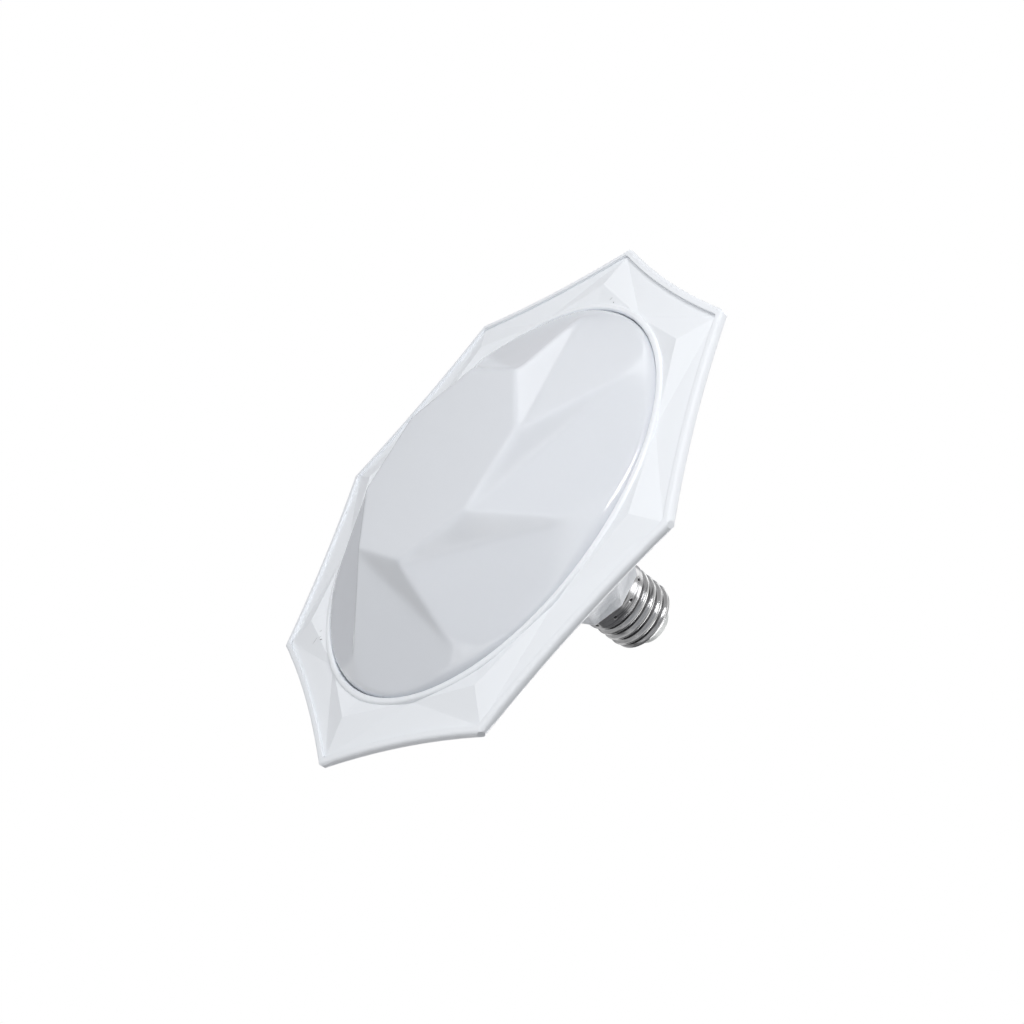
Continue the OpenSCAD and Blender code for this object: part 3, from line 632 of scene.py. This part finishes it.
@dataclass
class StarCover:
    """The milky cover: a flat middle, eight steep rays, eight gentle panels and a rounded shoulder.

    In the photograph the cover lies nearer to its ring than the plain solid does, so outer_r is a little
    larger than the solid's radius and shoulder_r a little smaller.
    """

    outer_r: float = 75.85
    foot_front: float = -2.4
    shoulder_r: float = 6.0
    shoulder_slope: float = math.radians(32)
    star_front: float = 22.8
    point_r: float = 69.2
    point_front: float = 7.6
    point_cut: float = 0.4
    point_turn: float = math.radians(4.9)
    ray_in_r: float = 38.7
    ray_in_turn: float = math.radians(25.6)
    ray_out_r: float = 37.2
    ray_out_turn: float = math.radians(58.8)
    wall: float = 1.6
    drop_per_inset: float = 1.15
    soft: float = 0.35
    columns: int = 480
    outer_rows: int = 150
    inner_rows: int = 30
    cone_share: float = 0.76
    arc_share: float = 0.18

    def plane(self, corners: list[Place]) -> np.ndarray:
        """Find the plane front = a x + b y + c through three corners.

        Args:
            corners: three corners as radius, turn and front.

        Returns:
            The numbers a, b and c.
        """
        rows = np.array([[r * math.cos(t), r * math.sin(t), 1.0] for r, t, _ in corners])
        return np.linalg.solve(rows, np.array([f for _, _, f in corners]))

    def higher(self, a: np.ndarray, b: np.ndarray) -> np.ndarray:
        """Take the higher of two fronts and round the edge where they cross.

        The result is the logarithm of a sum of exponentials, all scaled by soft.

        Args:
            a: fronts of the first surface.
            b: fronts of the second surface.

        Returns:
            The rounded upper envelope.
        """
        return self.soft * np.logaddexp(a / self.soft, b / self.soft)

    def lower(self, a: np.ndarray, b: np.ndarray) -> np.ndarray:
        """Take the lower of two fronts and round the edge where they cross, in the same way.

        Args:
            a: fronts of the first surface.
            b: fronts of the second surface.

        Returns:
            The rounded lower envelope.
        """
        return -self.higher(-a, -b)

    def star(self, x: np.ndarray, y: np.ndarray) -> np.ndarray:
        """Work out the front of the star over a plan point.

        The first ray is the plane through its point and its two inner corners, and the first panel is the
        plane through its two points and its inner corner; the others are these turned by 45 degrees. A
        ray stands above its own panel in a valley, so the higher of the two counts, and of all sectors
        and the flat middle the lowest counts.

        Args:
            x: plan coordinates along +X.
            y: plan coordinates along +Y.

        Returns:
            The front over each point.
        """
        point = (self.point_r, self.point_turn, self.point_front)
        next_point = (self.point_r, self.point_turn + STEP, self.point_front)
        inner = (self.ray_in_r, self.ray_in_turn, self.star_front)
        outer = (self.ray_out_r, self.ray_out_turn, self.star_front)
        next_inner = (self.ray_in_r, self.ray_in_turn + STEP, self.star_front)
        ray = self.plane([point, inner, outer])
        panel = self.plane([point, next_point, next_inner])
        front = np.full(x.shape, self.star_front)
        for k in range(SIDES):
            c, s = math.cos(k * STEP), math.sin(k * STEP)
            u, v = x * c + y * s, -x * s + y * c
            on_ray, on_panel = (a * u + b * v + d for a, b, d in (ray, panel))
            front = self.lower(front, self.higher(on_ray, on_panel))
        return front

    def body(self, rows: int, inset: float) -> tuple[np.ndarray, np.ndarray]:
        """Follow the outline of the cover's round body from the axis to its foot.

        The outline is a cone, an arc that turns it into the upright skirt, and the skirt.

        Args:
            rows: number of points.
            inset: distance inwards from the outside.

        Returns:
            Radius and front of each point.
        """
        slope = self.shoulder_slope
        round_r = self.shoulder_r - inset
        round_x = self.outer_r - self.shoulder_r
        end_x = round_x + round_r * math.sin(slope)
        end_front = (self.point_front - self.point_cut - (end_x - self.point_r) * math.tan(slope)
                     - inset * self.drop_per_inset)
        round_front = end_front - round_r * math.cos(slope)
        cone, arc = int(rows * self.cone_share), int(rows * self.arc_share)
        skirt = rows - cone - arc
        r_cone = np.linspace(0.0, end_x, cone, endpoint=False)
        f_cone = end_front + (end_x - r_cone) * math.tan(slope)
        turn = np.linspace(math.pi / 2 - slope, 0.0, arc, endpoint=False)
        r_arc, f_arc = round_x + round_r * np.cos(turn), round_front + round_r * np.sin(turn)
        r_skirt = np.full(skirt, self.outer_r - inset)
        f_skirt = np.linspace(round_front, self.foot_front, skirt)
        return np.concatenate([r_cone, r_arc, r_skirt]), np.concatenate([f_cone, f_arc, f_skirt])

    def surface(self, rows: int, inset: float) -> np.ndarray:
        """Lay a grid over the cover: the lower of the star and the round body, at each radius and turn.

        Args:
            rows: number of rows from the axis to the foot.
            inset: distance inwards from the outside.

        Returns:
            Points in millimetres, row by row.
        """
        r, body_front = self.body(rows, inset)
        turn = np.arange(self.columns) * 2 * math.pi / self.columns
        rr, tt = np.meshgrid(r, turn, indexing="ij")
        x, y = rr * np.cos(tt), rr * np.sin(tt)
        star = self.star(x, y) - inset * self.drop_per_inset
        body = np.repeat(body_front[:, None], self.columns, axis=1)
        on_skirt = rr >= self.outer_r - inset - TINY
        front = np.where(on_skirt, body, self.lower(star, body))
        return np.stack([x, y, RIM_Z - front], -1).reshape(-1, 3)

    def build(self) -> bpy.types.Object:
        """Make the closed shell: outside, inside and the foot between them, in place of the plain solid."""
        outside = self.surface(self.outer_rows, 0.0)
        inside = self.surface(self.inner_rows, self.wall)
        count = len(outside)
        outer_faces = grid_faces(self.outer_rows, self.columns)[:, ::-1]
        inner_faces = grid_faces(self.inner_rows, self.columns, count)
        foot = ring_faces(self.columns, count - self.columns, count + len(inside) - self.columns)
        cover = make_object("star_cover", np.concatenate([outside, inside]), [outer_faces, inner_faces, foot])
        cover.data.materials.append(MILKY.build())
        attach(cover, "root")
        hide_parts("cover")
        return cover


@dataclass
class ThreadedCap:
    """The nickel cap shell: a plain skirt with crimp marks, a rolled thread and a turned-in lip."""

    helix: Helix = THREAD
    skirt_r: float = 13.45
    thread_mid_r: float = 12.675
    thread_depth: float = 1.05
    wall: float = 0.5
    insulator_r: float = 10.4
    crimp_count: int = 10
    crimp_turn: float = math.radians(21.5)
    crimp_r: float = 0.75
    crimp_depth: float = 0.65
    crimp_up: float = 3.2
    columns: int = 160
    skirt_rows: int = 30
    thread_rows: int = 150

    def plain_outline(self) -> tuple[np.ndarray, np.ndarray]:
        """List the shell's outside where it is round: below the thread, and past it to the lip's inner edge.

        Returns:
            Two arrays with one row of height and radius for each point.
        """
        start, end = self.helix.start, self.helix.end
        heights = np.linspace(0.0, start - 0.4, self.skirt_rows)
        skirt = np.stack([heights, np.full(self.skirt_rows, self.skirt_r)], -1)
        step = np.array([[start - 0.15, self.skirt_r - 0.08], [start - 0.02, self.skirt_r - 0.35]])
        lip = np.array([[end + 0.3, self.thread_mid_r - 0.1],
                        [end + 0.6, self.thread_mid_r - 0.4],
                        [end + 1.0, self.insulator_r + 1.1],
                        [end + 1.25, self.insulator_r + self.wall + 0.1],
                        [end + 1.3, self.insulator_r + 0.15],
                        [end + 1.1, self.insulator_r],
                        [end + 0.9, self.insulator_r]])
        return np.concatenate([skirt, step]), lip

    def thread(self, heights: np.ndarray, turn: np.ndarray) -> np.ndarray:
        """Roll the thread: a cosine wave of one pitch whose phase climbs once a turn.

        Its depth fades over a third of a pitch at both ends.

        Args:
            heights: height of each row.
            turn: angle of each column.

        Returns:
            Radius of each point, row by row.
        """
        helix = self.helix
        fade = np.clip(np.minimum(heights - helix.start, helix.end - heights) / (helix.pitch / 3), 0, 1)
        phase = 2 * math.pi * (heights[:, None] - helix.start) / helix.pitch - turn[None, :] + helix.crest_turn
        return self.thread_mid_r + self.thread_depth / 2 * fade[:, None] * np.cos(phase)

    def crimps(self, heights: np.ndarray, turn: np.ndarray) -> np.ndarray:
        """Press the crimp marks: round dents of the form (1 - d squared) squared.

        Here d is the distance from the middle of the nearest mark over a mark's radius.

        Args:
            heights: height of each row.
            turn: angle of each column.

        Returns:
            Depth at each point, row by row.
        """
        one = 2 * math.pi / self.crimp_count
        across = (((turn - self.crimp_turn) / one + 0.5) % 1.0 - 0.5) * one * self.skirt_r
        near = (across[None, :] ** 2 + (heights[:, None] - self.crimp_up) ** 2) / self.crimp_r ** 2
        return self.crimp_depth * np.clip(1 - near, 0, 1) ** 2

    def outline(self, turn: np.ndarray) -> tuple[np.ndarray, np.ndarray]:
        """Follow the outside of the shell from its foot to its lip.

        Args:
            turn: angle of each column.

        Returns:
            Radius and height of each point, row by row.
        """
        below, lip = self.plain_outline()
        threaded = np.linspace(self.helix.start, self.helix.end, self.thread_rows)
        heights = np.concatenate([below[:, 0], threaded, lip[:, 0]])
        radii = np.concatenate([np.repeat(below[:, 1:], len(turn), 1), self.thread(threaded, turn),
                                np.repeat(lip[:, 1:], len(turn), 1)])
        return radii - self.crimps(heights, turn), np.repeat(heights[:, None], len(turn), 1)

    def build(self) -> bpy.types.Object:
        """Make the shell with its inside a wall's thickness further in, in place of the coarser solid."""
        turn = np.arange(self.columns) * 2 * math.pi / self.columns
        radii, heights = self.outline(turn)
        rr = np.concatenate([radii, np.flip(radii - self.wall, axis=0)])
        zz = np.concatenate([heights, np.flip(heights, axis=0)])
        points = np.stack([rr * np.cos(turn), rr * np.sin(turn), zz], -1).reshape(-1, 3)
        faces = grid_faces(len(rr), self.columns)[:, ::-1]
        foot = ring_faces(self.columns, 0, len(points) - self.columns)
        shell = make_object("threaded_cap", points, [faces, foot])
        shell.data.materials.append(THREAD_NICKEL.build())
        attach(shell, "root")
        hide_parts("cap_shell")
        return shell


@dataclass
class PlainNodes:
    """The nodes whose solids already have the right shape, each given the finish of its record slot."""

    replaced: set[str] = field(default_factory=set)

    def dress(self) -> None:
        """Give each node the material of its slot, made once for all the nodes of that slot."""
        made: dict[str, Material] = {}
        for part in frame["record"]["subparts"]:
            node, slot = part["node"], part["material_slot"]
            if node in self.replaced or slot not in SLOT_FINISHES:
                continue
            if slot not in made:
                made[slot] = SLOT_FINISHES[slot].build()
            item = frame["nodes"][node]
            item.data.materials.clear()
            item.data.materials.append(made[slot])
            log.info("node %s: %s", node, made[slot].name)


@dataclass(frozen=True)
class Lamp:
    """One square soft panel lamp, whole or as a row of parallel strips with gaps as wide as they are.

    Its place is in image directions: millimetres to the right, up and towards the camera.
    """

    name: str
    place: Place
    size: float
    watts: float
    strips: int = 1


@dataclass(frozen=True)
class Card:
    """One square card that only reflections see, placed as lamps are.

    It gives metal and grazing edges their shape.
    """

    name: str
    place: Place
    colour: str
    size: float = 1100.0


CARDS = (Card("low_card", (100, -650, 0), "a6a6a8"),
         Card("back_card", (-80, 150, -700), "f2f2f6"))
LAMPS = (Lamp("key_panel", (60, 490, 500), 280, 2.5, strips=6),
         Lamp("side_panel", (750, 0, 0), 350, 1.3),
         Lamp("upper_panel", (0, 680, -160), 240, 0.22),
         Lamp("rear_panel", (440, 400, -420), 430, 0.75),
         Lamp("fill_panel", (-289, 289, 289), 350, 0.28),
         Lamp("top_panel", (490, -380, -330), 350, 1.5),
         Lamp("strip_panel", (-534, -78, 270), 350, 0.44, strips=7))


@dataclass
class Studio:
    """Pale floor, white surround, cards, soft lamps and the camera at the photograph's viewing angle."""

    camera_mm: Place = (-97.8, 395.1, -263.4)
    camera_x: Place = (0.49950, 0.50867, 0.70125)
    camera_y: Place = (0.83907, -0.08267, -0.53770)
    camera_z: Place = (-0.21554, 0.85698, -0.46810)
    lens_mm: float = 48.11
    sensor_mm: float = 36.0
    clip_end_m: float = 100.0
    middle_z: float = RIM_Z * 0.8
    floor_z: float = -1100.0
    floor_size: float = 30000.0
    floor_colour: str = "f2f2f2"
    floor_glow: float = 0.75
    ambient_colour: str = "fafbfd"
    ambient: float = 0.32

    def camera(self) -> None:
        """Stand the camera where the eight rim tips of the photograph put it."""
        data = bpy.data.cameras.new("camera")
        data.lens = self.lens_mm
        data.sensor_width = self.sensor_mm
        data.clip_end = self.clip_end_m
        item = bpy.data.objects.new("camera", data)
        bpy.context.scene.collection.objects.link(item)
        turn = Matrix((self.camera_x, self.camera_y, self.camera_z)).transposed()
        item.matrix_world = Matrix.Translation(Vector(self.camera_mm) * MM) @ turn.to_4x4()
        bpy.context.scene.camera = item

    def seen(self, owner: bpy.types.ID) -> Socket:
        """Tell camera, reflected and refracted rays from the rays that light the object.

        Args:
            owner: the material or world that takes the nodes.

        Returns:
            A socket that is 1 on the former and 0 on the latter.
        """
        path = add_node(owner, "LightPath").outputs
        clear = compute(owner, "MAXIMUM", path["Is Camera Ray"], path["Is Transmission Ray"])
        return compute(owner, "MAXIMUM", clear, path["Is Glossy Ray"])

    def floor(self) -> None:
        """Lay a pale matte floor well below the lamp, mostly white to the camera and to reflections."""
        h = self.floor_size / 2
        points = np.array([[x, y, self.floor_z] for x, y in ((-h, -h), (h, -h), (h, h), (-h, h))])
        item = make_object("floor", points, [ONE_QUAD], smooth=False)
        mat = new_material("pale_floor_paper")
        paper = add_node(mat, "BsdfPrincipled", {"Base Color": linear(self.floor_colour), "Roughness": MATTE})
        white = add_node(mat, "Emission", {"Color": FULL_WHITE, "Strength": 1.0})
        mixed = add_node(mat, "MixShader", {"Fac": compute(mat, "MULTIPLY", self.seen(mat), self.floor_glow),
                                            1: paper.outputs["BSDF"], 2: white.outputs["Emission"]})
        add_node(mat, "OutputMaterial", {"Surface": mixed.outputs["Shader"]})
        item.data.materials.append(mat)

    def surround(self) -> None:
        """Fill the world with white for the camera and for reflections, and with soft light for the rest."""
        world = bpy.data.worlds.new("surround")
        bpy.context.scene.world = world
        world.use_nodes = True
        world.node_tree.nodes.clear()
        soft = add_node(world, "Background", {"Color": linear(self.ambient_colour), "Strength": self.ambient})
        white = add_node(world, "Background", {"Color": FULL_WHITE, "Strength": 1.0})
        mixed = add_node(world, "MixShader", {"Fac": self.seen(world), 1: soft.outputs["Background"],
                                              2: white.outputs["Background"]})
        add_node(world, "OutputWorld", {"Surface": mixed.outputs["Shader"]})

    def aim(self, place: Place) -> tuple[Vector, Matrix]:
        """Find where a lamp or card stands and the turn that makes its -Z face the object.

        Args:
            place: position in image directions, from the object's middle.

        Returns:
            The position in the part's frame, in millimetres, and the rotation.
        """
        centre = Vector((0, 0, self.middle_z))
        right, up, back = (Vector(v) for v in (self.camera_x, self.camera_y, self.camera_z))
        spot = centre + right * place[0] + up * place[1] + back * place[2]
        return spot, (spot - centre).to_track_quat("Z", "Y").to_matrix()

    def stand_card(self, card: Card) -> None:
        """Stand one card.

        Args:
            card: which card.
        """
        spot, turn = self.aim(card.place)
        h = card.size / 2
        corners = [spot + turn @ Vector((x, y, 0)) for x, y in ((-h, -h), (h, -h), (h, h), (-h, h))]
        item = make_object(card.name, np.array([list(c) for c in corners]), [ONE_QUAD], smooth=False)
        item.visible_camera = item.visible_diffuse = item.visible_shadow = item.visible_transmission = False
        item.data.materials.append(MatteBoard("grey_card_board", card.colour).build())

    def hang_lamp(self, lamp: Lamp) -> None:
        """Hang one lamp, facing the object.

        Args:
            lamp: which lamp.
        """
        data = bpy.data.lights.new(lamp.name, "AREA")
        data.shape = "RECTANGLE"
        pitch = lamp.size / lamp.strips
        lit_share = 1.0 if lamp.strips == 1 else 0.5
        data.size = pitch * lit_share * MM
        data.size_y = lamp.size * MM
        data.energy = lamp.watts / lamp.strips
        spot, turn = self.aim(lamp.place)
        for i in range(lamp.strips):
            item = bpy.data.objects.new(lamp.name, data)
            bpy.context.scene.collection.objects.link(item)
            along = turn @ Vector(((i - (lamp.strips - 1) / 2) * pitch, 0, 0))
            item.matrix_world = Matrix.Translation((spot + along) * MM) @ turn.to_4x4()
        log.info("%s: %.2f W in %d strips", lamp.name, lamp.watts, lamp.strips)

    def build(self) -> None:
        """Set up the whole stage."""
        self.camera()
        self.floor()
        self.surround()
        for card in CARDS:
            self.stand_card(card)
        for lamp in LAMPS:
            self.hang_lamp(lamp)
        bpy.context.scene.view_settings.view_transform = "Standard"


def main() -> None:
    """Build each piece in order and report it."""
    logging.basicConfig(level=logging.INFO, format="%(name)s: %(message)s")
    Studio().build()
    cover = StarCover().build()
    log.info("%s: %d faces", cover.name, len(cover.data.polygons))
    cap = ThreadedCap().build()
    log.info("%s: %d faces", cap.name, len(cap.data.polygons))
    PlainNodes({"cover", "cap_shell"}).dress()


if __name__ == "__main__":
    main()
